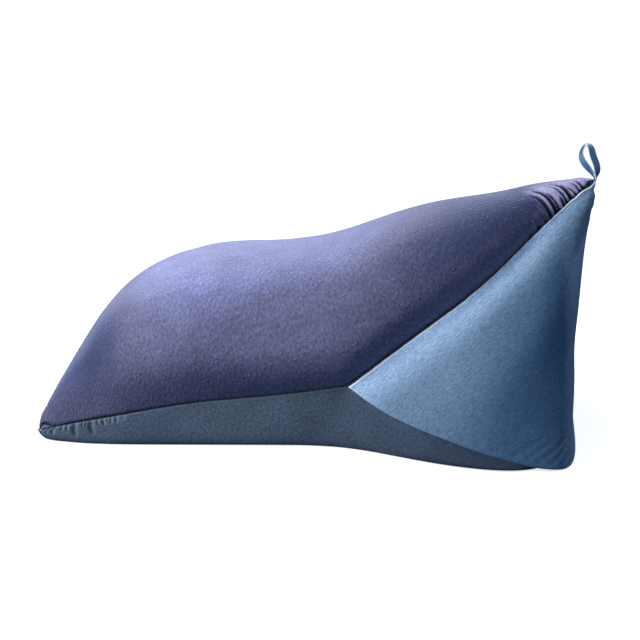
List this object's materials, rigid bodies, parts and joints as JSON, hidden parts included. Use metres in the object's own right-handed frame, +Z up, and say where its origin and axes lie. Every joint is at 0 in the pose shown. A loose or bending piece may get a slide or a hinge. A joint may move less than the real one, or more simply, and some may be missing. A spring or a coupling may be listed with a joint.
{
  "type": "bean bag sofa",
  "caption": "Filled bag sewn from cloth panels, with a wide low seat that rises to a pointed backrest, a flat underside and a strap loop at the tip for carrying it.",
  "frame": {"origin": "on the floor, in the middle of the bag from side to side, under the seat", "axes": "+Z up, -X towards the front of the seat, +X towards the back, Y across the bag"},
  "size_m": [1.2391, 0.8674, 0.6528],
  "materials": {
    "top_panel": "soft knitted cloth in dark violet navy, with a pale sheen at its edges",
    "base_panel": "plain woven cloth in mottled slate blue",
    "back_panel": "twill woven cloth in light denim blue",
    "loop": "flat woven strap in blue with light edges"
  },
  "bodies": {
    "root": {"top_panel": "top_panel", "base_panel": "base_panel", "back_panel": "back_panel", "loop": "loop"}
  },
  "joints": []
}
